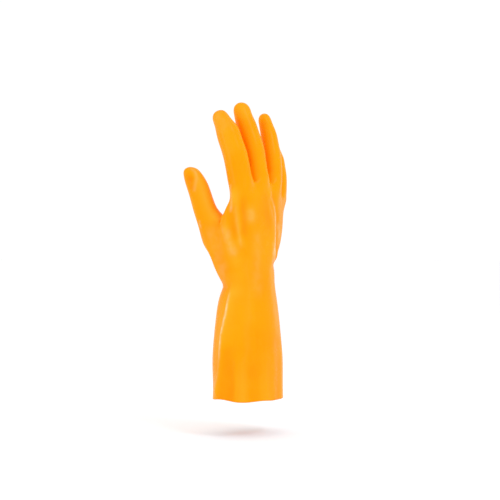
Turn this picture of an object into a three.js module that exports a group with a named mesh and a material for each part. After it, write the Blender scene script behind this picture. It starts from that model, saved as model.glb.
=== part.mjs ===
// A right-hand latex chemical-resistant glove, shown as a hand fills it: one dipped rubber skin, open at
// the cuff. Units are millimetres. +Z runs from the cuff up to the fingertips, the back of the hand faces
// -Y and the thumb is on the -X side. The origin is the middle of the cuff's mouth.
import * as THREE from "three";

const WALL = 1; // thickness of the rubber
const REFINEMENTS = 1; // how often the control mesh is subdivided
const FITTING_ROUNDS = 6; // how often the control mesh is corrected, so that the surface meets the sizes
const EASING_ROUNDS = 4; // how often the palm is smoothed where the heel of the thumb runs into it
const EASING_SHARE = 0.5; // how far a point goes each time to the mean of its neighbours
const WEB_EDGES = 6; // how many edges meet at the points between two fingers, which aren't corrected

// Sections of the cuff, wrist and palm, from the rim up. x and y are a section's middle, tilt is how far it
// drops at the little finger's side, turn is its turn about Z in degrees, and square is the exponent of its
// superellipse.
const SECTIONS = [
  { z: 0, x: 0, y: 0, breadth: 85.6, depth: 62.8, tilt: 0, turn: 0, square: 2 },
  { z: 16, x: 0, y: 0, breadth: 85, depth: 62.3, tilt: 0, turn: 0, square: 2 },
  { z: 40, x: -0.2, y: 0.3, breadth: 85.5, depth: 62.5, tilt: 0, turn: 0, square: 2 },
  { z: 62, x: -0.4, y: 0.4, breadth: 82, depth: 60, tilt: 0, turn: 0, square: 2 },
  { z: 84, x: -0.3, y: 0.4, breadth: 77, depth: 56, tilt: 0, turn: 0, square: 2 },
  { z: 103, x: -0.1, y: 0.2, breadth: 70.5, depth: 51.5, tilt: 0, turn: 0, square: 2 },
  { z: 117, x: 0.3, y: -0.3, breadth: 64, depth: 47.5, tilt: 0, turn: 0, square: 2 },
  { z: 129, x: 1.1, y: -0.6, breadth: 65, depth: 41, tilt: 0, turn: 1, square: 2.1 },
  { z: 142, x: 2.6, y: -1.4, breadth: 66.5, depth: 36, tilt: 0, turn: 2, square: 2.2 },
  { z: 157, x: 4.6, y: -4, breadth: 75, depth: 32.5, tilt: 0, turn: 3, square: 2.2 },
  { z: 172, x: 6, y: -5.3, breadth: 80.3, depth: 31.3, tilt: 1.5, turn: 4.5, square: 2.3 },
  { z: 187, x: 6.4, y: -7.2, breadth: 82, depth: 29.8, tilt: 4, turn: 6, square: 2.3 },
  { z: 201, x: 6, y: -8.7, breadth: 83.5, depth: 28, tilt: 7, turn: 6, square: 2.3 },
];

// What stands out of the sections of the hand: at is the angle round the section, from +X towards +Y,
// spread is how far it runs to each side of it, towards is the way it pushes, and heights are for the last
// six sections.
const SWELLS = [
  { name: "heel of the thumb", at: 142, spread: 38, towards: 142, heights: [6.5, 14.5, 9.6, 5, 1, 0] },
  { name: "web of the thumb", at: 168, spread: 24, towards: 118, heights: [0, 0, 1, 3, 7.5, 3.5] },
  { name: "heel of the little finger", at: 35, spread: 34, towards: 35, heights: [1, 3, 4, 3, 1, 0] },
  { name: "hollow of the palm", at: 75, spread: 30, towards: 270, heights: [0, 0, 1, 2, 1.5, 0] },
];

// Fingers from the index to the little one. base is the middle of the root at the webs. lengths run from
// there to the middle joint, the end joint and the tip, bends are their leans to the palm's side and spread
// is their lean to +X. half_widths and half_depths are at the root, the middle joint, the end joint and the
// pad.
const FINGERS = [
  {
    name: "index", base: [-24.8, -11.2, 221], spread: -4, lengths: [30, 26, 25], bends: [11, 20.5, 30],
    half_widths: [12.3, 12.2, 11.7, 9.6], half_depths: [12.8, 12.7, 11.9, 9.1],
  },
  {
    name: "middle", base: [0.5, -13.2, 225], spread: 0, lengths: [33, 27.5, 26], bends: [11.5, 21, 22],
    half_widths: [11.2, 11.2, 10.5, 9.4], half_depths: [11, 11.5, 10.6, 8.8],
  },
  {
    name: "ring", base: [24.3, -12.7, 220], spread: 8.5, lengths: [31, 26, 25], bends: [8, 17, 24],
    half_widths: [10.4, 9.8, 8.6, 7.6], half_depths: [10.4, 10, 8.6, 7.2],
  },
  {
    name: "little", base: [41.8, -5.8, 206], spread: 13, lengths: [26, 20, 21], bends: [8.5, 17, 26],
    half_widths: [9.4, 9, 8, 7], half_depths: [9.4, 9, 8, 6.8],
  },
];

// Rings along a finger: the length that they lie on and the share of it, the length whose direction they
// share, their place among the four given sizes, and their scale against the size there.
const FINGER_RINGS = [
  { length: 0, share: 0, beside: 0, size: 0, scale: 1 },
  { length: 0, share: 0.3, beside: 0, size: 0.3, scale: 1 },
  { length: 0, share: 0.95, beside: 1, size: 1, scale: 1 },
  { length: 1, share: 0.55, beside: 1, size: 1.5, scale: 1 },
  { length: 2, share: 0, beside: 1, size: 2, scale: 1 },
  { length: 2, share: 0.45, beside: 2, size: 3, scale: 1 },
  { length: 2, share: 0.82, beside: 2, size: 3, scale: 0.78 },
];
const WEB_DROP = { back: 5, middle: 0, palm: 2 }; // how far the webs slope down on the back and on the palm

// The thumb stands in an upright plane, turned from +X towards +Y by its bearing. A ring's reach is the
// distance of its middle from the wrist's axis, across is how far it lies beside the plane, slope is how
// far its outer edge is turned down and yaw is how far it is turned to the back of the hand.
const THUMB_BEARING = 141;
const THUMB_RINGS = [
  { z: 172.5, reach: 35.4, across: 2, slope: 51, yaw: 12, half_width: 17.8, half_depth: 14 },
  { z: 184, reach: 40.4, across: 0, slope: 38, yaw: 4, half_width: 13.9, half_depth: 12 },
  { z: 197, reach: 45.8, across: 0, slope: 21, yaw: 0, half_width: 11.8, half_depth: 11.3 },
  { z: 213, reach: 50.8, across: 0, slope: 18, yaw: 0, half_width: 11.2, half_depth: 11 },
  { z: 225, reach: 55.5, across: 0, slope: 15, yaw: 0, half_width: 10.4, half_depth: 10.2 },
  { z: 234, reach: 59.5, across: 0, slope: 14, yaw: 0, half_width: 7.9, half_depth: 7.8 },
];
const THUMB_TIP = { z: 239, reach: 61.5 };
const THUMB_HEEL = { share: 0.5, bulge: 3.5 }; // a ring between the palm and these, swollen to the palm
const THUMB_ROWS = [8, 11]; // the thumb leaves the palm between these sections
const THUMB_COLUMNS = [14, 18]; // and these columns

// Broad folds and hollows that the rubber keeps. A course is a line of [angle round the section, z], and
// height and width are how far the surface stands out along it and how broadly.
const FOLDS = [
  {
    name: "index tendon",
    height: 1.5,
    width: 5.5,
    course: [[175, 212], [184, 190], [199, 177], [207, 160]],
  },
  { name: "hollow on its thumb side", height: -1, width: 5, course: [[172, 194], [180, 174]] },
  { name: "hollow on its far side", height: -1, width: 6, course: [[209, 200], [215, 172]] },
  { name: "knuckle", height: 0.9, width: 6.5, course: [[225, 194], [228, 186]] },
  {
    name: "thumb bone",
    height: 1.2,
    width: 6,
    course: [[152, 176], [170, 165], [184, 156], [198, 142]],
  },
  { name: "hollow under the thumb bone", height: -0.9, width: 7, course: [[150, 148], [172, 134]] },
  {
    name: "ring finger's fold",
    height: -1.2,
    width: 5,
    course: [[274, 206], [288, 184], [299, 158], [312, 142]],
  },
  { name: "wrist fold at the little finger", height: -1.6, width: 5, course: [[308, 139], [352, 139]] },
  { name: "wrist fold at the thumb", height: -1, width: 4.5, course: [[130, 117], [166, 116]] },
  {
    name: "crease of the cuff",
    height: 1.1,
    width: 5,
    course: [[189, 108], [185, 89], [178, 66], [176, 34], [165, 10]],
  },
  { name: "cuff hollow at the thumb", height: -1.8, width: 8, course: [[202, 50], [198, 0]] },
  { name: "cuff ridge at the back", height: 1.4, width: 6, course: [[220, 42], [219, 0]] },
  { name: "cuff hollow at the back", height: -1.1, width: 6, course: [[238, 34], [238, 0]] },
  { name: "second cuff ridge", height: 1, width: 6, course: [[256, 46], [258, 0]] },
  { name: "second cuff hollow", height: -1, width: 7, course: [[290, 56], [286, 0]] },
  { name: "cuff hollow at the little finger", height: -1.4, width: 8, course: [[36, 50], [40, 0]] },
  { name: "cuff ridge at the palm", height: 1.1, width: 8, course: [[74, 38], [77, 0]] },
  { name: "cuff hollow at the palm", height: -1.2, width: 8, course: [[114, 50], [110, 0]] },
];
const FOLD_LIMITS = [1.7, 2.1]; // folds fade where the surface is this many times as far out as a section

// Round swells and dents: how far the surface stands out at a place and how broadly.
const DENTS = [
  { name: "web of the thumb", at: [-31, 8.5, 186.5], height: 3.5, width: 8 },
  { name: "beside the web", at: [-37.7, -3.5, 205], height: -1.2, width: 6 },
  { name: "pad of the thumb", at: [-53.2, 32.8, 226], height: -0.9, width: 5 },
  { name: "tip of the thumb", at: [-53, 40, 236], height: 1.3, width: 4.5 },
  { name: "tip of the middle finger", at: [4, 0.5, 303], height: 1.3, width: 6 },
  { name: "tip of the ring finger", at: [32, 5, 296], height: 1, width: 7 },
  { name: "root of the little finger", at: [44.5, -13.5, 208.5], height: -1, width: 6 },
  { name: "wrist at the little finger", at: [31.5, -12, 145], height: 1.3, width: 6 },
];

// Where the rim of the cuff waves up, in degrees round it.
const RIM_WAVES = [
  { at: 178, spread: 24, rise: 2.7 },
  { at: 148, spread: 10, rise: 0.9 },
  { at: 252, spread: 14, rise: 0.9 },
  { at: 60, spread: 30, rise: 1.6 },
];
const RIM_WAVE_REACH = 40; // how far up the cuff the wave fades out

const COLUMNS = 20; // points round a section
const FIRST_COLUMN_AT = 198; // where they start: at the thumb's side of the back
const FINGER_ANGLES = [135, 90, 45, 0, 315, 270, 225, 180]; // the points round a finger: its back is at 90
const UP = new THREE.Vector3(0, 0, 1);
const { degToRad: radians, euclideanModulo: modulo, lerp, smoothstep } = THREE.MathUtils;
const turnBetween = (degrees, from) => modulo(degrees - from + 180, 360) - 180;
const bell = (distance, width) => Math.exp(-((distance / width) ** 2));

// The control mesh: points, and four-sided faces that face out.
const points = [];
const faces = [];
const addPoint = (p) => points.push(p.clone()) - 1;

// Joins two rings of the same number of points with a band of faces, but for those that leftOut names.
function bridge(lower, upper, leftOut = () => false) {
  lower.forEach((corner, i) => {
    const next = (i + 1) % lower.length;
    if (!leftOut(i)) faces.push([corner, lower[next], upper[next], upper[i]]);
  });
}

// Closes a ring of an even number of points over a tip.
function cap(ring, tip) {
  for (let i = 0; i < ring.length; i += 2) {
    faces.push([ring[i], ring[i + 1], ring[(i + 2) % ring.length], tip]);
  }
}

// The cuff, wrist and palm. The columns go round by the back, the little finger, the palm and the thumb.
function sectionRing(section, row) {
  const rounded = (value) => Math.sign(value) * Math.abs(value) ** (2 / section.square);
  const handRow = row - (SECTIONS.length - SWELLS[0].heights.length);
  return Array.from({ length: COLUMNS }, (_, column) => {
    const degrees = FIRST_COLUMN_AT + (360 / COLUMNS) * column;
    const side = rounded(Math.cos(radians(degrees)));
    const front = rounded(Math.sin(radians(degrees)));
    const p = new THREE.Vector3((section.breadth / 2) * side, (section.depth / 2) * front, 0);
    SWELLS.forEach(({ at, spread, towards, heights }) => {
      const swell = (heights[handRow] ?? 0) * bell(turnBetween(degrees, at), spread);
      p.x += swell * Math.cos(radians(towards));
      p.y += swell * Math.sin(radians(towards));
    });
    p.applyAxisAngle(UP, radians(section.turn));
    return addPoint(p.add(new THREE.Vector3(section.x, section.y, section.z - section.tilt * side)));
  });
}

const sections = SECTIONS.map(sectionRing);
const isWithin = (value, [first, last]) => value >= first && value < last;
const leavesRoom = (row) => (column) => isWithin(row, THUMB_ROWS) && isWithin(column, THUMB_COLUMNS);
sections.slice(1).forEach((ring, row) => bridge(sections[row], ring, leavesRoom(row)));

// A finger's rings of eight points, and its tip.
function fingerShape(finger) {
  const spread = radians(finger.spread);
  const across = new THREE.Vector3(Math.cos(spread), 0, -Math.sin(spread));
  const directions = finger.bends.map((bend) => {
    const upright = new THREE.Vector3().crossVectors(across, new THREE.Vector3(0, 1, 0));
    return upright.applyAxisAngle(across, -radians(bend));
  });
  const joints = [new THREE.Vector3(...finger.base)];
  directions.forEach((direction, i) => {
    joints.push(joints[i].clone().addScaledVector(direction, finger.lengths[i]));
  });
  const sizeAt = (list, place) => {
    const i = Math.min(Math.floor(place), list.length - 2);
    return lerp(list[i], list[i + 1], place - i);
  };
  const rings = FINGER_RINGS.map(({ length, share, beside, size, scale }) => {
    const middle = joints[length].clone().lerp(joints[length + 1], share);
    const along = directions[length].clone().add(directions[beside]).normalize();
    const dorsal = new THREE.Vector3().crossVectors(across, along);
    return FINGER_ANGLES.map((degrees) =>
      middle
        .clone()
        .addScaledVector(across, sizeAt(finger.half_widths, size) * scale * Math.cos(radians(degrees)))
        .addScaledVector(dorsal, sizeAt(finger.half_depths, size) * scale * Math.sin(radians(degrees))),
    );
  });
  return { rings, tip: joints.at(-1) };
}

// Where two fingers meet, the points of their roots become one, in the web. The outer two keep their own.
function webPoint(first, second, drop) {
  if (!first || !second) return addPoint(first ?? second);
  return addPoint(first.clone().lerp(second, 0.5).addScaledVector(UP, -drop));
}

const fingers = FINGERS.map(fingerShape);
const webs = Array.from({ length: fingers.length + 1 }, (_, i) => {
  const before = fingers[i - 1]?.rings[0];
  const after = fingers[i]?.rings[0];
  return {
    back: webPoint(before?.[2], after?.[0], WEB_DROP.back),
    middle: webPoint(before?.[3], after?.[7], WEB_DROP.middle),
    palm: webPoint(before?.[4], after?.[6], WEB_DROP.palm),
  };
});
const roots = fingers.map(({ rings: [root] }, i) => {
  const [web, nextWeb] = [webs[i], webs[i + 1]];
  const [back, palm] = [addPoint(root[1]), addPoint(root[5])];
  return [web.back, back, nextWeb.back, nextWeb.middle, nextWeb.palm, palm, web.palm, web.middle];
});
const lastWeb = webs.at(-1);
const topEdge = [
  webs[0].back,
  ...roots.flatMap((root) => [root[1], root[2]]),
  lastWeb.middle,
  lastWeb.palm,
  ...roots.toReversed().flatMap((root) => [root[5], root[6]]),
  webs[0].middle,
];
bridge(sections.at(-1), topEdge);
fingers.forEach(({ rings, tip }, i) => {
  let lower = roots[i];
  rings.slice(1).forEach((ring) => {
    const upper = ring.map(addPoint);
    bridge(lower, upper);
    lower = upper;
  });
  cap(lower, addPoint(tip));
});

// The thumb grows from the edge of the room left for it: up its back side, along the top, down its palm
// side and along the bottom.
const [firstRow, lastRow] = THUMB_ROWS;
const [firstColumn, lastColumn] = THUMB_COLUMNS;
function range(from, to) {
  const step = Math.sign(to - from);
  return Array.from({ length: Math.abs(to - from) }, (_, i) => from + i * step);
}
const thumbEdge = [
  ...range(firstRow, lastRow).map((row) => sections[row][lastColumn]),
  ...range(lastColumn, firstColumn).map((column) => sections[lastRow][column]),
  ...range(lastRow, firstRow).map((row) => sections[row][firstColumn]),
  ...range(firstColumn, lastColumn).map((column) => sections[firstRow][column]),
];
const thumbStep = 360 / thumbEdge.length;
const thumbAngles = thumbEdge.map((_, i) => radians(thumbStep * (i + (lastColumn - firstColumn) / 2)));
const bearing = new THREE.Vector3(1, 0, 0).applyAxisAngle(UP, radians(THUMB_BEARING));
const sideways = new THREE.Vector3().crossVectors(UP, bearing);
const thumbRings = THUMB_RINGS.map(({ z, reach, across, slope, yaw, half_width, half_depth }) => {
  const middle = new THREE.Vector3(0, 0, z);
  middle.addScaledVector(bearing, reach).addScaledVector(sideways, across);
  const ringAcross = sideways.clone().applyAxisAngle(UP, radians(-yaw));
  const level = bearing.clone().applyAxisAngle(UP, radians(-yaw));
  const outward = level.applyAxisAngle(ringAcross, radians(slope));
  return thumbAngles.map((angle) =>
    middle
      .clone()
      .addScaledVector(outward, half_width * Math.cos(angle))
      .addScaledVector(ringAcross, half_depth * Math.sin(angle)),
  );
});
const heel = thumbEdge.map((corner, i) =>
  points[corner]
    .clone()
    .lerp(thumbRings[0][i], THUMB_HEEL.share)
    .addScaledVector(sideways, THUMB_HEEL.bulge * Math.min(0, Math.sin(thumbAngles[i]))),
);
let thumbTop = thumbEdge;
const thumbPoints = [heel, ...thumbRings].map((ring) => {
  const upper = ring.map(addPoint);
  bridge(thumbTop, upper);
  thumbTop = upper;
  return upper;
});
cap(thumbTop, addPoint(bearing.clone().multiplyScalar(THUMB_TIP.reach).setZ(THUMB_TIP.z)));

// Catmull-Clark subdivision. neighbourhood finds each edge's faces and each point's neighbours.
function neighbourhood(pointCount, faceList) {
  const edges = new Map();
  const around = Array.from({ length: pointCount }, () => ({
    edges: new Set(),
    opposite: [],
    faces: [],
    rim: [],
  }));
  faceList.forEach((face, faceIndex) => {
    face.forEach((a, i) => {
      const b = face[(i + 1) % 4];
      const key = Math.min(a, b) * pointCount + Math.max(a, b);
      if (!edges.has(key)) edges.set(key, { ends: [a, b], faces: [] });
      edges.get(key).faces.push(faceIndex);
      around[a].edges.add(b);
      around[b].edges.add(a);
      around[a].opposite.push(face[(i + 2) % 4]);
      around[a].faces.push(faceIndex);
    });
  });
  [...edges.values()]
    .filter((edge) => edge.faces.length === 1)
    .forEach(({ ends: [a, b] }) => {
      around[a].rim.push(b);
      around[b].rim.push(a);
    });
  return { edges, around };
}

const sum = (list, indices) => indices.reduce((total, i) => total.add(list[i]), new THREE.Vector3());

// Where each point of the control mesh comes to lie on the smooth surface.
function onSurface(list, around) {
  return list.map((p, i) => {
    const { edges, opposite, rim } = around[i];
    if (rim.length) return sum(list, rim).addScaledVector(p, 4).divideScalar(6);
    const n = edges.size;
    const weighted = sum(list, [...edges]).multiplyScalar(4).addScaledVector(p, n * n);
    return weighted.add(sum(list, opposite)).divideScalar(n * (n + 5));
  });
}

function subdivide({ list, faceList, near }) {
  const faceCentres = faceList.map((face) => sum(list, face).divideScalar(4));
  const moved = list.map((p, i) => {
    const { edges, faces: sides, rim } = near.around[i];
    if (rim.length) return sum(list, rim).addScaledVector(p, 6).divideScalar(8);
    const n = edges.size;
    const mean = sum(list, [...edges]).add(sum(faceCentres, sides)).divideScalar(n);
    return mean.addScaledVector(p, n - 2).divideScalar(n);
  });
  const finer = [...moved, ...faceCentres];
  const edgePoints = new Map();
  near.edges.forEach(({ ends, faces: sides }, key) => {
    const inside = sides.length === 2 ? [...sides] : [];
    const total = sum(list, ends).add(sum(faceCentres, inside));
    edgePoints.set(key, finer.push(total.divideScalar(2 + inside.length)) - 1);
  });
  const between = (a, b) => edgePoints.get(Math.min(a, b) * list.length + Math.max(a, b));
  const quarters = faceList.flatMap((face, faceIndex) =>
    face.map((a, i) => {
      const [next, last] = [face[(i + 1) % 4], face[(i + 3) % 4]];
      return [a, between(a, next), moved.length + faceIndex, between(last, a)];
    }),
  );
  return { list: finer, faceList: quarters, near: neighbourhood(finer.length, quarters) };
}

// The palm and the palm side of the thumb's heel are eased into each other.
const near = neighbourhood(points.length, faces);
const palmSideLimit = 0.3; // the sine of the angle round the thumb where its palm side ends
const onPalmSide = (ring) => ring.filter((_, i) => Math.sin(thumbAngles[i]) < palmSideLimit);
const palmColumns = [COLUMNS / 2, firstColumn + 1];
const eased = new Set([
  ...sections.slice(firstRow - 1, lastRow + 2).flatMap((ring) => ring.slice(...palmColumns)),
  ...onPalmSide(thumbEdge),
  ...onPalmSide(thumbPoints[0]),
]);
for (let round = 0; round < EASING_ROUNDS; round++) {
  const before = points.map((p) => p.clone());
  eased.forEach((i) => {
    const beside = [...near.around[i].edges];
    points[i].lerp(sum(before, beside).divideScalar(beside.length), EASING_SHARE);
  });
}

// The control points move until the surface meets the given points, but for those of the webs.
let mesh = { list: points.map((p) => p.clone()), faceList: faces, near };
for (let round = 0; round < FITTING_ROUNDS; round++) {
  const reached = onSurface(mesh.list, near.around);
  mesh.list.forEach((p, i) => {
    if (near.around[i].edges.size !== WEB_EDGES) p.add(points[i]).sub(reached[i]);
  });
}
for (let round = 0; round < REFINEMENTS; round++) mesh = subdivide(mesh);
const smooth = onSurface(mesh.list, mesh.near.around);

function normals(list, faceList) {
  const result = list.map(() => new THREE.Vector3());
  faceList.forEach(([a, b, c, d]) => {
    const diagonal = new THREE.Vector3().subVectors(list[c], list[a]);
    const normal = diagonal.cross(new THREE.Vector3().subVectors(list[d], list[b]));
    [a, b, c, d].forEach((i) => result[i].add(normal));
  });
  return result.map((normal) => normal.normalize());
}

// A place's angle round its section, how far out it is, and the length of a degree there.
function placeRound(p) {
  const next = SECTIONS.findIndex(({ z }) => z > p.z);
  const above = SECTIONS.at(next);
  const below = next > 0 ? SECTIONS[next - 1] : above;
  const share = next > 0 ? (p.z - below.z) / (above.z - below.z) : 0;
  const at = (size) => lerp(below[size], above[size], share);
  const [halfBreadth, halfDepth] = [at("breadth") / 2, at("depth") / 2];
  const local = new THREE.Vector3(p.x - at("x"), p.y - at("y"), 0).applyAxisAngle(UP, -radians(at("turn")));
  const [side, front] = [local.x / halfBreadth, local.y / halfDepth];
  const angle = Math.atan2(front, side);
  return {
    degrees: THREE.MathUtils.radToDeg(angle),
    out: Math.hypot(side, front),
    perDegree: radians(Math.hypot(halfBreadth * Math.sin(angle), halfDepth * Math.cos(angle))),
  };
}

function distanceToCourse(course, { degrees, perDegree }, z) {
  const [start] = course[0];
  const toStart = turnBetween(start, degrees);
  const flat = course.map(
    ([angle, height]) => new THREE.Vector2((toStart + angle - start) * perDegree, height - z),
  );
  return Math.min(
    ...flat.slice(1).map((end, i) => {
      const line = end.clone().sub(flat[i]);
      const share = THREE.MathUtils.clamp(-flat[i].dot(line) / line.lengthSq(), 0, 1);
      return flat[i].clone().addScaledVector(line, share).length();
    }),
  );
}

// The folds and dents push the surface out or in, and the waves lift the rim of the cuff.
const total = (list, valueOf) => list.reduce((subtotal, entry) => subtotal + valueOf(entry), 0);
const facing = normals(smooth, mesh.faceList);
const outer = smooth.map((p, i) => {
  const place = placeRound(p);
  const strength = 1 - smoothstep(place.out, ...FOLD_LIMITS);
  const fold = total(FOLDS, ({ height, width, course }) => {
    return height * bell(distanceToCourse(course, place, p.z), width);
  });
  const dent = total(DENTS, ({ at, height, width }) => {
    return height * bell(p.distanceTo(new THREE.Vector3(...at)), width);
  });
  const wave = total(RIM_WAVES, ({ at, spread, rise }) => {
    return rise * bell(turnBetween(place.degrees, at), spread);
  });
  const folded = p.clone().addScaledVector(facing[i], fold * strength + dent);
  return folded.addScaledVector(UP, wave * (1 - smoothstep(p.z, 0, RIM_WAVE_REACH)));
});

// The inside is the outside set in by the wall, and the two meet in a band round the rim of the cuff.
const foldedFacing = normals(outer, mesh.faceList);
const inner = outer.map((p, i) => p.clone().addScaledVector(foldedFacing[i], -WALL));
const count = outer.length;
const rimBand = [...mesh.near.edges.values()]
  .filter(({ faces: sides }) => sides.length === 1)
  .map(({ ends: [a, b] }) => [b, a, a + count, b + count]);
const insideFaces = mesh.faceList.map((face) => face.map((i) => i + count).reverse());
const allFaces = [...mesh.faceList, ...insideFaces, ...rimBand];

const geometry = new THREE.BufferGeometry();
const coordinates = [...outer, ...inner].flatMap((p) => p.toArray());
geometry.setAttribute("position", new THREE.Float32BufferAttribute(coordinates, 3));
geometry.setIndex(allFaces.flatMap(([a, b, c, d]) => [a, b, c, a, c, d]));
geometry.computeVertexNormals();

const latex = new THREE.MeshStandardMaterial({ color: 0xffa01c, roughness: 0.5, metalness: 0 });
const shell = new THREE.Mesh(geometry, latex);
shell.name = "glove_shell";

const glove = new THREE.Group();
glove.add(shell);

export default glove;
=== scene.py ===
"""The looks of a right-hand latex chemical-resistant glove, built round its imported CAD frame.

The glove's tables are the part's own, in millimetres, and MM turns them into the frame's metres. +Z runs
from the cuff up to the fingertips, the back of the hand faces -Y and the thumb is on the -X side.
"""

import math

import bpy
import numpy as np
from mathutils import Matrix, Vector


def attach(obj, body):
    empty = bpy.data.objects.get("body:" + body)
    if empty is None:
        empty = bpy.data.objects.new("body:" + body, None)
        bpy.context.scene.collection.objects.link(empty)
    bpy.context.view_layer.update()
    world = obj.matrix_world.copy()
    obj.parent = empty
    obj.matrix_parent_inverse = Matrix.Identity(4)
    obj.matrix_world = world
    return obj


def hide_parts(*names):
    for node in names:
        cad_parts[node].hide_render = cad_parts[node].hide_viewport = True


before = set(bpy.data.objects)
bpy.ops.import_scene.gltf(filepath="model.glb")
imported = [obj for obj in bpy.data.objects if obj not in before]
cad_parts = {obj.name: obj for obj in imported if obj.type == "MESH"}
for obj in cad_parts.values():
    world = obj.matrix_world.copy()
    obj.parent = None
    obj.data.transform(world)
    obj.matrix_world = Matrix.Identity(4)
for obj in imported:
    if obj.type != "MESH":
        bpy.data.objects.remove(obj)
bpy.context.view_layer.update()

MM = 0.001
WALL = 1.0  # thickness of the rubber
REFINEMENTS = 3  # how often the control mesh is subdivided
FITTING_ROUNDS = 6  # how often it is corrected, so that the surface meets the sizes
EASING_ROUNDS = 4  # how often the palm is smoothed where the heel of the thumb runs into it
EASING_SHARE = 0.5  # how far a point goes each time to the mean of its neighbours
WEB_EDGES = 6  # how many edges meet at the points between two fingers, which aren't corrected

# Sections from the rim up: z, middle x and y, breadth, depth, drop at the little finger's side, turn about
# Z in degrees, and the exponent of the superellipse.
SECTIONS = np.array([
    (0, 0, 0, 85.6, 62.8, 0, 0, 2),
    (16, 0, 0, 85, 62.3, 0, 0, 2),
    (40, -0.2, 0.3, 85.5, 62.5, 0, 0, 2),
    (62, -0.4, 0.4, 82, 60, 0, 0, 2),
    (84, -0.3, 0.4, 77, 56, 0, 0, 2),
    (103, -0.1, 0.2, 70.5, 51.5, 0, 0, 2),
    (117, 0.3, -0.3, 64, 47.5, 0, 0, 2),
    (129, 1.1, -0.6, 65, 41, 0, 1, 2.1),
    (142, 2.6, -1.4, 66.5, 36, 0, 2, 2.2),
    (157, 4.6, -4, 75, 32.5, 0, 3, 2.2),
    (172, 6, -5.3, 80.3, 31.3, 1.5, 4.5, 2.3),
    (187, 6.4, -7.2, 82, 29.8, 4, 6, 2.3),
    (201, 6, -8.7, 83.5, 28, 7, 6, 2.3),
])

# What stands out of the sections of the hand: angle round the section, spread, the way it pushes, and its
# heights on the last six sections.
SWELLS = (
    (142, 38, 142, (6.5, 14.5, 9.6, 5, 1, 0)),  # heel of the thumb
    (168, 24, 118, (0, 0, 1, 3, 7.5, 3.5)),  # web of the thumb
    (35, 34, 35, (1, 3, 4, 3, 1, 0)),  # heel of the little finger
    (75, 30, 270, (0, 0, 1, 2, 1.5, 0)),  # hollow of the palm
)

# Fingers from the index to the little one: middle of the root, lean to +X, three lengths, their leans to
# the palm, and half widths and half depths at the root, the middle joint, the end joint and the pad.
FINGERS = (
    (
        (-24.8, -11.2, 221), -4, (30, 26, 25), (11, 20.5, 30),
        (12.3, 12.2, 11.7, 9.6), (12.8, 12.7, 11.9, 9.1),
    ),
    (
        (0.5, -13.2, 225), 0, (33, 27.5, 26), (11.5, 21, 22),
        (11.2, 11.2, 10.5, 9.4), (11, 11.5, 10.6, 8.8),
    ),
    (
        (24.3, -12.7, 220), 8.5, (31, 26, 25), (8, 17, 24),
        (10.4, 9.8, 8.6, 7.6), (10.4, 10, 8.6, 7.2),
    ),
    (
        (41.8, -5.8, 206), 13, (26, 20, 21), (8.5, 17, 26),
        (9.4, 9, 8, 7), (9.4, 9, 8, 6.8),
    ),
)

# Rings along a finger: the length that they lie on and the share of it, the length whose direction they
# share, their place among the four given sizes, and their scale against the size there.
FINGER_RINGS = (
    (0, 0, 0, 0, 1),
    (0, 0.3, 0, 0.3, 1),
    (0, 0.95, 1, 1, 1),
    (1, 0.55, 1, 1.5, 1),
    (2, 0, 1, 2, 1),
    (2, 0.45, 2, 3, 1),
    (2, 0.82, 2, 3, 0.78),
)
FINGER_ANGLES = (135, 90, 45, 0, 315, 270, 225, 180)
BACK_POINT, PALM_POINT = 1, 5  # which of these are the middles of the back and of the palm's side

# Webs between two fingers, on the back, in the middle and on the palm: the points of the roots before and
# after that meet there, and how far the web slopes down.
WEBS = ((2, 0, 5), (3, 7, 0), (4, 6, 2))

# The thumb's rings: z, reach from the wrist's axis, offset across its plane, slope, yaw, half width and
# half depth.
THUMB_RINGS = (
    (172.5, 35.4, 2, 51, 12, 17.8, 14),
    (184, 40.4, 0, 38, 4, 13.9, 12),
    (197, 45.8, 0, 21, 0, 11.8, 11.3),
    (213, 50.8, 0, 18, 0, 11.2, 11),
    (225, 55.5, 0, 15, 0, 10.4, 10.2),
    (234, 59.5, 0, 14, 0, 7.9, 7.8),
)
THUMB_TIP = (239, 61.5)  # z and reach
THUMB_BEARING = 141  # the way that it grows, in degrees from +X towards +Y
HEEL_SHARE, HEEL_BULGE = 0.5, 3.5  # where the ring before the first lies, and how far it bulges at the palm
THUMB_ROWS = (8, 11)  # the sections between which the palm leaves room for it
THUMB_COLUMNS = (14, 18)  # and the points round them
PALM_SIDE_LIMIT = 0.3  # the sine of the angle round the thumb where its palm side ends

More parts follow.
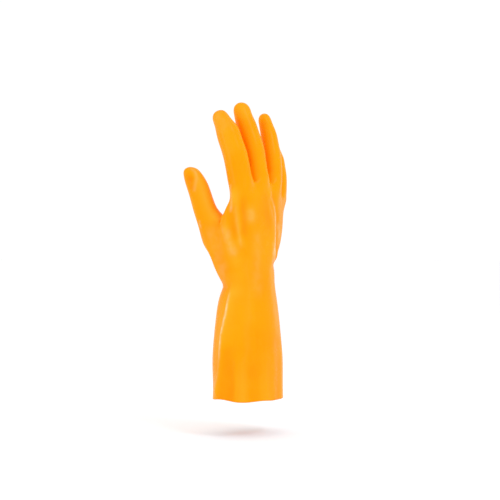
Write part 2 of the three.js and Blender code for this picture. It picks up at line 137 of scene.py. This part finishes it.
# Folds and hollows that the rubber keeps: height, width, and a course of (angle round the section, z).
FOLDS = (
    (1.5, 5.5, ((175, 212), (184, 190), (199, 177), (207, 160))),  # index tendon
    (-1, 5, ((172, 194), (180, 174))),  # hollow on its thumb side
    (-1, 6, ((209, 200), (215, 172))),  # hollow on its far side
    (0.9, 6.5, ((225, 194), (228, 186))),  # knuckle
    (1.2, 6, ((152, 176), (170, 165), (184, 156), (198, 142))),  # thumb bone
    (-0.9, 7, ((150, 148), (172, 134))),  # hollow under it
    (-1.2, 5, ((274, 206), (288, 184), (299, 158), (312, 142))),  # fold under the ring finger
    (-1.6, 5, ((308, 139), (352, 139))),  # wrist fold at the little finger
    (-1, 4.5, ((130, 117), (166, 116))),  # wrist fold at the thumb
    (1.1, 5, ((189, 108), (185, 89), (178, 66), (176, 34), (165, 10))),  # crease of the cuff
    (-1.8, 8, ((202, 50), (198, 0))),  # cuff hollow at the thumb
    (1.4, 6, ((220, 42), (219, 0))),  # cuff ridge at the back
    (-1.1, 6, ((238, 34), (238, 0))),  # cuff hollow at the back
    (1, 6, ((256, 46), (258, 0))),  # second cuff ridge
    (-1, 7, ((290, 56), (286, 0))),  # second cuff hollow
    (-1.4, 8, ((36, 50), (40, 0))),  # cuff hollow at the little finger
    (1.1, 8, ((74, 38), (77, 0))),  # cuff ridge at the palm
    (-1.2, 8, ((114, 50), (110, 0))),  # cuff hollow at the palm
)

# Laps, where the rubber steps down across a crease: height, how far the step falls, how far the raised side
# reaches, the side it is on (1 for greater angles), and the crease from top to bottom.
LAPS = (
    (  # cuff at the thumb
        1.6, 2, 9, 1,
        ((190, 110), (187, 89), (183, 78), (179.5, 67), (178.5, 45), (177.5, 33), (172, 22), (166, 12)),
    ),
    (  # under the ring finger
        1.5, 2, 8, -1,
        ((272, 209), (280, 201), (286, 191), (289, 177), (295, 156), (311, 143)),
    ),
)
LAP_FADE = 12  # how far beyond its ends a lap fades out

# The painted highlight along the crest of each lap, from its lower end up: z, strength and half width.
LAP_HIGHLIGHTS = (
    ((12, 0.15, 1), (38, 0.15, 1), (62, 0.95, 0.95), (99, 0.95, 0.95), (111, 0, 0.95)),
    (
        (139, 0.3, 1.6), (148, 1.2, 1.8), (158, 1.25, 1.7), (166, 1.15, 1.4), (176, 1, 1.2), (190, 0.8, 1),
        (210, 0, 1),
    ),
)

# Sharper creases, which only this model has: height, width and course.
CREASES = (
    (1.1, 2.6, ((177, 208), (184, 190), (199, 177), (206, 164))),  # index tendon
    (-1.1, 3.5, ((172, 196), (180, 178), (193, 166))),  # hollow on its thumb side
    (-0.9, 3.5, ((207, 196), (210, 184), (214, 172))),  # hollow on its far side
    (1, 4, ((225.5, 192), (226.5, 187))),  # knuckle
    (0.9, 4, ((156, 174), (170, 165), (184, 156))),  # thumb bone
    (-0.9, 4, ((184, 168), (197, 158))),  # hollow beside it
    (-0.7, 4, ((200, 44), (201, 0))),  # cuff hollow at the thumb
    (1, 3, ((209, 38), (208, 0))),  # cuff ridge beside it
    (0.6, 4, ((228, 142), (230, 112), (236, 84))),  # back of the wrist
)
CREASE_ROUNDING = 0.8  # the radius of a crease along its crest

# Round swells and dents: place, height, radius, and how much higher their painted light or shade looks than
# they are.
DENTS = (
    ((-31, 8.5, 186.5), 3.5, 8, -2.8),  # web of the thumb
    ((-37.7, -3.5, 205), -1.2, 6, 1.2),  # beside the web
    ((-53.2, 32.8, 226), -0.9, 5, -2),  # pad of the thumb
    ((-51.9, 32, 217.5), -0.5, 3.5, -1.2),  # its lower end
    ((-53, 40, 236), 1.3, 4.5, -1),  # tip of the thumb
    ((-43.1, 28, 179.8), -0.5, 3, 0),  # root of the thumb
    ((4, 0.5, 303), 1.3, 6, -0.8),  # tip of the middle finger
    ((32, 5, 296), 1, 7, -0.6),  # tip of the ring finger
    ((44.5, -13.5, 208.5), -1, 6, 0.8),  # root of the little finger
    ((31.5, -12, 145), 1.3, 6, -1),  # wrist at the little finger
    ((-40.1, 1, 274.2), 0.4, 3, 0),  # end joint of the index finger
)

# Painted highlights, as lines and spots, away from the laps: strength, half width and course.
PAINTED_HIGHLIGHT_LINES = (
    (  # web of the thumb
        0.35, 1.5,
        ((-36.4, -7.2, 218.4), (-38.2, -9.8, 207.2), (-38, -9.3, 200.2), (-37.4, -8, 194.2)),
    ),
    (  # pad of the thumb
        0.13, 1.8,
        ((-50.1, 33, 236.6), (-48.9, 29.2, 233.4), (-49.4, 27.3, 227.2), (-50.6, 29.1, 215)),
    ),
    (0.5, 1.3, ((-44.8, 28.5, 183), (-44, 30, 180.4), (-43.2, 28.4, 177.8))),  # root of the thumb
    (0.22, 3, ((27.3, -17.7, 179), (30.7, -16.3, 170.5), (29.7, -15.8, 162))),  # little finger's heel
    (0.4, 1.8, ((16.9, -19.3, 160), (18.6, -17.8, 150), (20, -16.2, 143))),  # wrist beside the lap
    (0.18, 4, ((-38, -2.5, 172), (-36.9, -5.2, 163), (-34, -8, 152))),  # thumb bone
    (0.11, 5, ((-22.8, -22, 191), (-21.8, -21.2, 187))),  # knuckle
    (0.07, 7, ((-40.6, 14, 172), (-39.4, 9.7, 159), (-37.2, 7.6, 146))),  # heel of the thumb
    (0.12, 6, ((-37.2, 7.6, 143), (-35.3, 6.5, 135.5), (-32.7, 7.5, 124))),  # wrist at the thumb
    (0.06, 6, ((-10.3, -20.4, 166), (-7.4, -19.3, 148.7), (-12.1, -21.9, 112))),  # wrist
    (0.06, 8, ((-37.8, 9.7, 290), (-38.6, 2.3, 281.5))),  # tip of the index finger
    (  # tendon of the index finger
        0.1, 1.5,
        ((-36, -13.5, 196), (-34.2, -13.7, 182), (-31.9, -14.7, 168.9), (-29.1, -14.9, 158)),
    ),
)

# Painted light and painted shade, such as shade between the fingers and light on the thumb's flank: how
# much higher its colour looks, half width and course.
PAINTED_LIGHT_AND_SHADE_LINES = (
    (4.5, 9, ((-42, 26, 231), (-37, 19.5, 208), (-33, 13, 192))),  # flank of the thumb
    (-2.5, 4, ((-10.5, 5.5, 286), (-11, -3, 266), (-10.6, -10.6, 243.9))),  # middle finger
    (-2.5, 4, ((26.5, 2.8, 286), (21.3, -4.4, 262.6), (16.9, -12.7, 237))),  # ring finger
    (-1.2, 7, ((-0.5, -23, 207), (1.3, -22.7, 193), (8, -21.5, 182))),  # root of the ring finger
    (1.2, 7, ((-6.2, 4.5, 300.7), (-5.4, -0.2, 294.2))),  # tip of the middle finger
    (1, 6, ((-37.8, 9.7, 290), (-38.6, 2.3, 281.5), (-38.5, -8.4, 254.6))),  # index finger
    (1, 8, ((-30, -7.7, 125.4), (-30.3, -9.3, 113.3))),  # wrist
    (0.8, 7, ((-39, -8.8, 22.8), (-38, -9, 0))),  # cuff at the thumb
    (0.8, 7, ((-21.5, -25.7, 20), (-21.6, -25.7, 0))),  # cuff at the back
    (-1, 6, ((-40.8, -5, 50), (-42, -3.4, 36.8), (-42.4, 0, 20), (-42.4, 1.6, 0))),  # crease of the cuff
)
FOLD_LIMITS = (1.7, 2.1)  # folds fade where the surface is this many times as far out as a section
COLOUR_CALM = (48, 20, 0.7)  # the height on the cuff where folds get the least painted light and shade, spread and loss

# Waves of the rim: angle, spread and rise.
RIM_WAVES = ((178, 24, 2.7), (148, 10, 0.9), (252, 14, 0.9), (60, 30, 1.6))
RIM_WAVE_REACH = 40  # how far up the cuff they fade out

COLUMNS = 20  # points round a section
FIRST_COLUMN_AT = 198  # the angle of the first of them

ORANGE = (0.97, 0.32, 0.0003, 1)
DEEP_ORANGE = (0.97, 0.29, 0.0001, 1)
LIGHT_ORANGE = (0.97, 0.35, 0.002, 1)
PAINTED_LIGHT = (0.97, 0.4, 0.02, 1)  # painted light on raised folds
PAINTED_SHADE = (0.95, 0.21, 0.0001, 1)  # painted shade in hollows and between the fingers
PAINTED_HIGHLIGHT_COLOUR = (0.97, 0.7, 0.4, 1)  # painted highlight along a sharp crease
FULL_PAINTED_LIGHT_AND_SHADE = 2.5  # the height or depth that gives the most painted light or shade, in millimetres
PAINTED_LIGHT_AND_SHADE_SHARE = 0.7  # how much of the painted light or painted shade colour it has there
STRONGEST_HIGHLIGHT = 2  # the painted highlight strength that colours the rubber most
HIGHLIGHT_SHARES = (0.6, 1.7)  # how much of the painted highlight colour it has there, where a line breaks and where not

# Sizes of the rubber's unevenness, in metres, and how much they show.
PATCH = 0.045  # patches of deeper orange
STREAK = 0.006  # lighter streaks
STREAK_STRETCH = (1, 1, 0.12)  # which run up the glove
STREAK_SHARE = 0.25
SPECK = 0.0009  # deeper specks
SPECK_SHARE = 0.12
BREAK = 0.008  # breaks of the painted highlight lines
SHEEN_PATCH = 0.012  # smoother and duller patches
ROUGHNESS = (0.22, 0.3)
SHINE = 0.05
GRAIN, GRAIN_HEIGHT = 0.0012, 0.0004
WAVE, WAVE_HEIGHT = 0.009, 0.0006

# The studio, in metres.
PAPER = (0.97, 0.97, 0.97, 1)
PAPER_ROUGHNESS = 0.9
FLOOR_HALF = 20
FLOOR_DROP = 0.036  # how far the glove is held above the floor
SKY_STRENGTH = 1.04
COOL_WHITE = (0.8, 0.88, 1)
LIGHT_TARGET = Vector((0, 0, 0.16))

# The camera: the photograph's size and focal length in pixels, and where the camera stands, in metres.
PHOTO_WIDTH = 500
FOCAL_PIXELS = 1255
SENSOR_WIDTH = 36  # in millimetres
CAMERA_AZIMUTH = math.radians(-50)
CAMERA_DISTANCE = 1.3
CAMERA_OFFSET = 0.00186  # to the right
CAMERA_HEIGHT = 0.1538
BACK = Vector((math.sin(CAMERA_AZIMUTH), -math.cos(CAMERA_AZIMUTH), 0))
RIGHT = Vector((math.cos(CAMERA_AZIMUTH), math.sin(CAMERA_AZIMUTH), 0))


def turn_between(degrees, start):
    return (degrees - start + 180) % 360 - 180


def bell(distance, width):
    return np.exp(-((distance / width) ** 2))


def smoothstep(value, low, high):
    share = np.clip((value - low) / (high - low), 0, 1)
    return share * share * (3 - 2 * share)


def turned(vector, axis, degrees):
    """A vector turned about an axis of length 1."""
    angle = math.radians(degrees)
    along = np.dot(axis, vector) * axis
    return along + (vector - along) * math.cos(angle) + np.cross(axis, vector) * math.sin(angle)


X, Y, UP = np.eye(3)
points = []
faces = []


def add_point(p):
    points.append(np.array(p, float))
    return len(points) - 1


def bridge(lower, upper, left_out=lambda column: False):
    """Joins two rings of points with a band of faces."""
    for i, corner in enumerate(lower):
        following = (i + 1) % len(lower)
        if not left_out(i):
            faces.append((corner, lower[following], upper[following], upper[i]))


def cap(ring, tip):
    """Closes a ring of an even number of points over a tip."""
    for i in range(0, len(ring), 2):
        faces.append((ring[i], ring[i + 1], ring[(i + 2) % len(ring)], tip))


def section_ring(row, section):
    z, x, y, breadth, depth, tilt, turn, square = section
    hand_row = row - (len(SECTIONS) - len(SWELLS[0][3]))
    ring = []
    for column in range(COLUMNS):
        degrees = FIRST_COLUMN_AT + 360 / COLUMNS * column
        cosine, sine = math.cos(math.radians(degrees)), math.sin(math.radians(degrees))
        side = math.copysign(abs(cosine) ** (2 / square), cosine)
        front = math.copysign(abs(sine) ** (2 / square), sine)
        p = np.array([breadth / 2 * side, depth / 2 * front, 0])
        if hand_row >= 0:
            for at, spread, towards, heights in SWELLS:
                swell = heights[hand_row] * bell(turn_between(degrees, at), spread)
                p += swell * turned(X, UP, towards)
        ring.append(add_point(turned(p, UP, turn) + (x, y, z - tilt * side)))
    return ring


def value_at(values, place):
    i = min(int(place), len(values) - 2)
    return values[i] + (values[i + 1] - values[i]) * (place - i)


def finger_rings(base, spread, lengths, bends, half_widths, half_depths):
    across = turned(X, Y, spread)
    directions = [turned(np.cross(across, Y), across, -bend) for bend in bends]
    joints = [np.array(base, float)]
    for direction, length in zip(directions, lengths):
        joints.append(joints[-1] + direction * length)
    rings = []
    for length, share, beside, size, scale in FINGER_RINGS:
        middle = joints[length] * (1 - share) + joints[length + 1] * share
        along = directions[length] + directions[beside]
        dorsal = np.cross(across, along / np.linalg.norm(along))
        wide = across * value_at(half_widths, size) * scale
        deep = dorsal * value_at(half_depths, size) * scale
        angles = np.radians(FINGER_ANGLES)
        rings.append([middle + wide * math.cos(a) + deep * math.sin(a) for a in angles])
    return rings, joints[-1]


def web_points(before, after):
    """The points that two neighbouring roots share: on the back, in the middle and on the palm."""
    made = []
    for corner, corner_after, drop in WEBS:
        first = before[corner] if before else None
        second = after[corner_after] if after else None
        if first is None or second is None:
            made.append(add_point(second if first is None else first))
        else:
            made.append(add_point((first + second) / 2 - UP * drop))
    return made


def between(start, stop):
    """Whole numbers from start towards stop, without stop."""
    return range(start, stop, 1 if stop > start else -1)


def make_palm():
    rings = [section_ring(row, section) for row, section in enumerate(SECTIONS)]
    for row in range(len(rings) - 1):
        room = THUMB_ROWS[0] <= row < THUMB_ROWS[1]
        bridge(rings[row], rings[row + 1], lambda i: room and THUMB_COLUMNS[0] <= i < THUMB_COLUMNS[1])
    return rings


def make_fingers(last_section):
    shapes = [finger_rings(*finger) for finger in FINGERS]
    first_rings = [None, *(rings[0] for rings, tip in shapes), None]
    webs = [web_points(before, after) for before, after in zip(first_rings, first_rings[1:])]
    roots = []
    for i, (rings, tip) in enumerate(shapes):
        back, palm = add_point(rings[0][BACK_POINT]), add_point(rings[0][PALM_POINT])
        (back_a, middle_a, palm_a), (back_b, middle_b, palm_b) = webs[i], webs[i + 1]
        roots.append([back_a, back, back_b, middle_b, palm_b, palm, palm_a, middle_a])
    edge = webs[0][:1]
    for root in roots:
        edge += root[BACK_POINT : BACK_POINT + 2]
    edge += webs[-1][1:]
    for root in reversed(roots):
        edge += root[PALM_POINT : PALM_POINT + 2]
    edge.append(webs[0][1])
    bridge(last_section, edge)
    for root, (rings, tip) in zip(roots, shapes):
        lower = root
        for ring in rings[1:]:
            upper = [add_point(p) for p in ring]
            bridge(lower, upper)
            lower = upper
        cap(lower, add_point(tip))


def make_thumb(sections):
    """Grows the thumb from the room left for it, and returns the points that are eased into the palm."""
    (first_row, last_row), (first_column, last_column) = THUMB_ROWS, THUMB_COLUMNS
    edge = [sections[row][last_column] for row in between(first_row, last_row)]
    edge += [sections[last_row][column] for column in between(last_column, first_column)]
    edge += [sections[row][first_column] for row in between(last_row, first_row)]
    edge += [sections[first_row][column] for column in between(first_column, last_column)]
    angles = [
        math.radians(360 / len(edge) * (i + (last_column - first_column) / 2)) for i in range(len(edge))
    ]
    bearing = turned(X, UP, THUMB_BEARING)
    sideways = np.cross(UP, bearing)
    rings = []
    for z, reach, across, slope, yaw, half_width, half_depth in THUMB_RINGS:
        middle = UP * z + bearing * reach + sideways * across
        ring_across = turned(sideways, UP, -yaw)
        outward = turned(turned(bearing, UP, -yaw), ring_across, slope)
        wide, deep = outward * half_width, ring_across * half_depth
        rings.append([middle + wide * math.cos(a) + deep * math.sin(a) for a in angles])
    heel = [
        points[corner] * (1 - HEEL_SHARE) + first * HEEL_SHARE + sideways * HEEL_BULGE * min(0, math.sin(a))
        for corner, first, a in zip(edge, rings[0], angles)
    ]
    lower = edge
    heel_points = None
    for ring in (heel, *rings):
        upper = [add_point(p) for p in ring]
        heel_points = heel_points or upper
        bridge(lower, upper)
        lower = upper
    cap(lower, add_point(bearing * THUMB_TIP[1] + UP * THUMB_TIP[0]))
    rows_around = sections[first_row - 1 : last_row + 2]
    eased = {i for ring in rows_around for i in ring[COLUMNS // 2 : first_column + 1]}
    for ring in (edge, heel_points):
        eased |= {p for p, a in zip(ring, angles) if math.sin(a) < PALM_SIDE_LIMIT}
    return sorted(eased)


class Net:
    """The edges of a mesh of four-sided faces, for Catmull-Clark subdivision."""

    def __init__(self, count, quads):
        self.count, self.quads = count, quads
        sides = np.stack([quads, np.roll(quads, -1, axis=1)], axis=2).reshape(-1, 2)
        self.edges, side_edges = np.unique(np.sort(sides, axis=1), axis=0, return_inverse=True)
        self.side_edges = side_edges.reshape(-1)
        self.on_rim = np.bincount(self.side_edges) == 1
        self.rim_edges = self.edges[self.on_rim]
        self.valence = np.bincount(self.edges.ravel(), minlength=count)[:, None]
        self.rim_point = np.bincount(self.rim_edges.ravel(), minlength=count) > 0
        self.rim_sides = sides[self.on_rim[self.side_edges]]

    def gathered(self, places, values):
        total = np.zeros((self.count, 3))
        np.add.at(total, places, values)
        return total

    def neighbours(self, p, edges):
        a, b = edges.T
        return self.gathered(a, p[b]) + self.gathered(b, p[a])

    def on_surface(self, p):
        """Where each point of the control mesh comes to lie on the smooth surface."""
        opposite = self.gathered(self.quads.ravel(), p[np.roll(self.quads, -2, axis=1).ravel()])
        n = self.valence
        inner = (n * n * p + 4 * self.neighbours(p, self.edges) + opposite) / (n * (n + 5))
        rim = (4 * p + self.neighbours(p, self.rim_edges)) / 6
        return np.where(self.rim_point[:, None], rim, inner)

    def subdivided(self, p):
        centres = p[self.quads].mean(axis=1)
        n = self.valence
        face_sum = self.gathered(self.quads.ravel(), np.repeat(centres, 4, axis=0))
        inner = ((self.neighbours(p, self.edges) + face_sum) / n + (n - 2) * p) / n
        rim = (6 * p + self.neighbours(p, self.rim_edges)) / 8
        moved = np.where(self.rim_point[:, None], rim, inner)
        centre_sum = np.zeros((len(self.edges), 3))
        np.add.at(centre_sum, self.side_edges, np.repeat(centres, 4, axis=0))
        ends = p[self.edges].sum(axis=1)
        edge_points = np.where(self.on_rim[:, None], ends / 2, (ends + centre_sum) / 4)
        first_edge = self.count + len(centres)
        following = self.side_edges.reshape(-1, 4) + first_edge
        middle = np.repeat(self.count + np.arange(len(centres)), 4).reshape(-1, 4)
        quarters = np.stack([self.quads, following, middle, np.roll(following, 1, axis=1)], axis=2)
        finer = np.concatenate([moved, centres, edge_points])
        return finer, Net(len(finer), quarters.reshape(-1, 4))

    def normals(self, p):
        a, b, c, d = (p[self.quads[:, i]] for i in range(4))
        facing = np.cross(c - a, d - b)
        total = self.gathered(self.quads.ravel(), np.repeat(facing, 4, axis=0))
        return total / np.linalg.norm(total, axis=1, keepdims=True)


def place_round(p):
    """Each point's angle round its section, how far out it is, and the length of a degree there."""
    x, y, breadth, depth, _, turn = (np.interp(p[:, 2], SECTIONS[:, 0], sizes) for sizes in SECTIONS.T[1:7])
    turn = np.radians(turn)
    from_x, from_y = p[:, 0] - x, p[:, 1] - y
    side = (from_x * np.cos(turn) + from_y * np.sin(turn)) / (breadth / 2)
    front = (from_y * np.cos(turn) - from_x * np.sin(turn)) / (depth / 2)
    angle = np.arctan2(front, side)
    per_degree = np.radians(np.hypot(breadth / 2 * np.sin(angle), depth / 2 * np.cos(angle)))
    return np.degrees(angle), np.hypot(side, front), per_degree


def distance_to_path(corners):
    """The distance to a path whose corners are given as each point sees them."""
    nearest = np.full(len(corners[0]), np.inf)
    for start, end in zip(corners, corners[1:]):
        line = end - start
        share = np.clip(-(start * line).sum(axis=1) / (line * line).sum(axis=1), 0, 1)
        nearest = np.minimum(nearest, np.linalg.norm(start + line * share[:, None], axis=1))
    return nearest


def distance_to_course(course, degrees, per_degree, z):
    first = course[0][0]
    to_first = turn_between(first, degrees)
    return distance_to_path(
        [np.stack([(to_first + at - first) * per_degree, height - z], axis=1) for at, height in course]
    )


def lap_height(lap, degrees, per_degree, z):
    height, fall, reach, side, course = lap
    angles, heights = np.array(course[::-1], float).T
    beside = turn_between(degrees, np.interp(z, heights, angles)) * per_degree * side
    above_bottom = smoothstep(z, heights[0] - LAP_FADE, heights[0])
    below_top = 1 - smoothstep(z, heights[-1], heights[-1] + LAP_FADE)
    along = above_bottom * below_top
    return height * along * smoothstep(beside, -fall, 0) * np.exp(-np.maximum(beside, 0) / reach)


def folded(p, normals):
    """The points with their folds, and how high each one's painted light or shade looks."""
    degrees, out, per_degree = place_round(p)
    push = np.zeros(len(p))
    for height, width, course in FOLDS:
        push += height * bell(distance_to_course(course, degrees, per_degree, p[:, 2]), width)
    for height, width, course in CREASES:
        distance = distance_to_course(course, degrees, per_degree, p[:, 2])
        push += height * np.exp((CREASE_ROUNDING - np.hypot(distance, CREASE_ROUNDING)) / width)
    push += sum(lap_height(lap, degrees, per_degree, p[:, 2]) for lap in LAPS)
    push *= 1 - smoothstep(out, *FOLD_LIMITS)
    # The folds' heights also paint light on ridges and shade in hollows, weakest on the cuff.
    middle, spread, loss = COLOUR_CALM
    painted_light_and_shade = push * (1 - loss * bell(p[:, 2] - middle, spread))
    # Dents give painted light or painted shade from their height and tone.
    for middle, height, radius, painted_tone in DENTS:
        near = bell(np.linalg.norm(p - middle, axis=1), radius)
        push += height * near
        painted_light_and_shade += (height + painted_tone) * near
    # Lines of painted light and painted shade.
    for painted_tone, width, course in PAINTED_LIGHT_AND_SHADE_LINES:
        painted_light_and_shade += painted_tone * bell(distance_to_path([corner - p for corner in course]), width)
    lift = sum(rise * bell(turn_between(degrees, at), spread) for at, spread, rise in RIM_WAVES)
    lift *= 1 - smoothstep(p[:, 2], 0, RIM_WAVE_REACH)
    return p + normals * push[:, None] + UP * lift[:, None], painted_light_and_shade


def painted_highlight(p):
    """How strong the painted highlight is: 0 away from the painted highlight lines."""
    degrees, out, per_degree = place_round(p)
    pale = np.zeros(len(p))
    for (*_, course), line in zip(LAPS, LAP_HIGHLIGHTS):
        heights, strengths, widths = np.array(line, float).T
        from_crest = distance_to_course(course, degrees, per_degree, p[:, 2])
        width = np.interp(p[:, 2], heights, widths)
        pale = np.maximum(pale, np.interp(p[:, 2], heights, strengths) * bell(from_crest, width))
    pale *= 1 - smoothstep(out, *FOLD_LIMITS)
    for strength, width, course in PAINTED_HIGHLIGHT_LINES:
        pale = np.maximum(pale, strength * bell(distance_to_path([corner - p for corner in course]), width))
    return pale


def smooth_surface():
    """The points of the glove's outer side before it is folded, and the net that joins them."""
    sections = make_palm()
    make_fingers(sections[-1])
    eased = make_thumb(sections)
    used, corners = np.unique(faces, return_inverse=True)  # without the points in the thumb's room
    target = np.array(points)[used]
    eased = np.searchsorted(used, eased)
    net = Net(len(target), corners.reshape(-1, 4))
    for _ in range(EASING_ROUNDS):
        mean = net.neighbours(target, net.edges) / net.valence
        target[eased] += (mean[eased] - target[eased]) * EASING_SHARE
    corrected = net.valence != WEB_EDGES
    p = target.copy()
    for _ in range(FITTING_ROUNDS):
        p += np.where(corrected, target - net.on_surface(p), 0)
    for _ in range(REFINEMENTS):
        p, net = net.subdivided(p)
    return net.on_surface(p), net


def make_glove():
    p, net = smooth_surface()
    outer, painted_light_and_shade = folded(p, net.normals(p))
    inner = outer - net.normals(outer) * WALL
    count = len(outer)
    a, b = net.rim_sides.T
    rim = np.stack([b, a, a + count, b + count], axis=1)
    quads = np.concatenate([net.quads, net.quads[:, ::-1] + count, rim])
    mesh = bpy.data.meshes.new("glove")
    mesh.from_pydata((np.concatenate([outer, inner]) * MM).tolist(), [], quads.tolist())
    mesh.polygons.foreach_set("use_smooth", [True] * len(quads))
    mesh.validate()
    for name, values in (("painted_light_and_shade", painted_light_and_shade), ("painted_highlight", painted_highlight(p))):
        attribute = mesh.attributes.new(name, "FLOAT", "POINT")
        attribute.data.foreach_set("value", np.concatenate([values, np.zeros(count)]))
    glove = bpy.data.objects.new("glove", mesh)
    bpy.context.collection.objects.link(glove)
    return glove


class Shading:
    """Adds nodes to a material and joins them."""

    def __init__(self, name):
        self.material = bpy.data.materials.new(name)
        self.material.use_nodes = True
        self.tree = self.material.node_tree
        self.shader = self.tree.nodes["Principled BSDF"]
        self.place = self.add("ShaderNodeTexCoord").outputs["Object"]

    def add(self, kind, **inputs):
        node = self.tree.nodes.new(kind)
        for name, value in inputs.items():
            self.give(node.inputs[name.replace("_", " ")], value)
        return node

    def give(self, socket, value):
        if isinstance(value, bpy.types.NodeSocket):
            self.tree.links.new(value, socket)
        else:
            socket.default_value = value

    def attribute(self, name):
        node = self.tree.nodes.new("ShaderNodeAttribute")
        node.attribute_name = name
        return node.outputs["Fac"]

    def noise(self, cell, detail, stretch=(1, 1, 1)):
        """Noise between 0 and 1 whose patches are about a cell wide, in metres."""
        scaled = self.add("ShaderNodeMapping", Vector=self.place, Scale=stretch)
        vector = scaled.outputs["Vector"]
        return self.add("ShaderNodeTexNoise", Vector=vector, Scale=1 / cell, Detail=detail).outputs["Fac"]

    def ranged(self, value, low, high, to_low, to_high):
        """Turns the range from low to high into another, and holds the value inside it."""
        node = self.add("ShaderNodeMapRange", Value=value, From_Min=low, From_Max=high)
        self.give(node.inputs["To Min"], to_low)
        self.give(node.inputs["To Max"], to_high)
        return node.outputs["Result"]

    def mixed(self, share, first, second):
        node = self.tree.nodes.new("ShaderNodeMix")
        node.data_type = "RGBA"
        self.give(node.inputs["Factor"], share)
        for name, colour in (("A", first), ("B", second)):
            self.give(next(s for s in node.inputs if s.name == name and s.type == "RGBA"), colour)
        return next(s for s in node.outputs if s.type == "RGBA")


def make_latex():
    latex = Shading("latex")
    patches = latex.ranged(latex.noise(PATCH, 3), 0.35, 0.65, 0, 1)
    streaks = latex.ranged(latex.noise(STREAK, 2, STREAK_STRETCH), 0.3, 0.7, 0, STREAK_SHARE)
    specks = latex.ranged(latex.noise(SPECK, 2), 0.62, 0.75, 0, SPECK_SHARE)
    colour = latex.mixed(patches, DEEP_ORANGE, ORANGE)
    colour = latex.mixed(streaks, colour, LIGHT_ORANGE)
    colour = latex.mixed(specks, colour, DEEP_ORANGE)
    # Painted light on raised folds, painted shade in hollows and between the fingers.
    painted_light_and_shade = latex.attribute("painted_light_and_shade")
    colour = latex.mixed(latex.ranged(painted_light_and_shade, 0, FULL_PAINTED_LIGHT_AND_SHADE, 0, PAINTED_LIGHT_AND_SHADE_SHARE), colour, PAINTED_LIGHT)
    colour = latex.mixed(latex.ranged(painted_light_and_shade, -FULL_PAINTED_LIGHT_AND_SHADE, 0, PAINTED_LIGHT_AND_SHADE_SHARE, 0), colour, PAINTED_SHADE)
    # Painted highlight along the laps' crests and in spots, broken up by noise.
    broken = latex.ranged(latex.noise(BREAK, 2), 0.35, 0.6, *HIGHLIGHT_SHARES)
    colour = latex.mixed(latex.ranged(latex.attribute("painted_highlight"), 0, STRONGEST_HIGHLIGHT, 0, broken), colour, PAINTED_HIGHLIGHT_COLOUR)
    latex.give(latex.shader.inputs["Base Color"], colour)
    roughness = latex.ranged(latex.noise(SHEEN_PATCH, 3), 0.3, 0.7, *ROUGHNESS)
    latex.give(latex.shader.inputs["Roughness"], roughness)
    latex.give(latex.shader.inputs["Specular IOR Level"], SHINE)
    grain = latex.add("ShaderNodeBump", Height=latex.noise(GRAIN, 3), Strength=0.12, Distance=GRAIN_HEIGHT)
    waves = latex.add("ShaderNodeBump", Height=latex.noise(WAVE, 1), Strength=0.25, Distance=WAVE_HEIGHT)
    latex.give(waves.inputs["Normal"], grain.outputs["Normal"])
    latex.give(latex.shader.inputs["Normal"], waves.outputs["Normal"])
    return latex.material


def make_floor():
    sides = (-FLOOR_HALF, FLOOR_HALF)
    (left, right), (front, back) = sides, sides
    corners = [(left, front, 0), (right, front, 0), (right, back, 0), (left, back, 0)]
    mesh = bpy.data.meshes.new("floor")
    mesh.from_pydata(corners, [], [(0, 1, 2, 3)])
    floor = bpy.data.objects.new("floor", mesh)
    bpy.context.collection.objects.link(floor)
    floor.location.z = -FLOOR_DROP
    paper = bpy.data.materials.new("paper")
    paper.use_nodes = True
    shader = paper.node_tree.nodes["Principled BSDF"]
    shader.inputs["Base Color"].default_value = PAPER
    shader.inputs["Roughness"].default_value = PAPER_ROUGHNESS
    mesh.materials.append(paper)
    return floor


def make_sky():
    world = bpy.data.worlds.new("studio")
    bpy.context.scene.world = world
    world.use_nodes = True
    background = world.node_tree.nodes["Background"]
    background.inputs["Color"].default_value = (1, 1, 1, 1)
    background.inputs["Strength"].default_value = SKY_STRENGTH


def area_light(name, right, back, up, size, power):
    """A softbox placed from the camera's point of view and turned to the middle of the glove."""
    data = bpy.data.lights.new(name, "AREA")
    data.shape = "SQUARE"
    data.size = size
    data.energy = power
    data.color = COOL_WHITE
    light = bpy.data.objects.new(name, data)
    bpy.context.collection.objects.link(light)
    light.location = RIGHT * right + BACK * back + Vector((0, 0, up))
    light.rotation_euler = (LIGHT_TARGET - light.location).to_track_quat("-Z", "Y").to_euler()


def make_camera():
    data = bpy.data.cameras.new("camera")
    data.lens = SENSOR_WIDTH * FOCAL_PIXELS / PHOTO_WIDTH
    camera = bpy.data.objects.new("camera", data)
    bpy.context.collection.objects.link(camera)
    camera.location = BACK * CAMERA_DISTANCE + RIGHT * CAMERA_OFFSET + Vector((0, 0, CAMERA_HEIGHT))
    camera.rotation_euler = (-BACK).to_track_quat("-Z", "Y").to_euler()
    bpy.context.scene.camera = camera


glove = make_glove()
glove.data.materials.append(make_latex())
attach(glove, "root")
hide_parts("glove_shell")

floor = make_floor()
make_sky()
bpy.context.scene.view_settings.view_transform = "Standard"
area_light("left rim", -1.2, -0.5, 0.2, 0.5, 0.8)
area_light("left", -1.25, 0.6, 0.3, 0.4, 2)
area_light("key", 1, 1, 1.8, 0.6, 9)
area_light("right", 0.9, 1.4, 0.3, 0.5, 1.5)
area_light("right rim", 1, -0.85, 0.2, 0.3, 0.6)
make_camera()
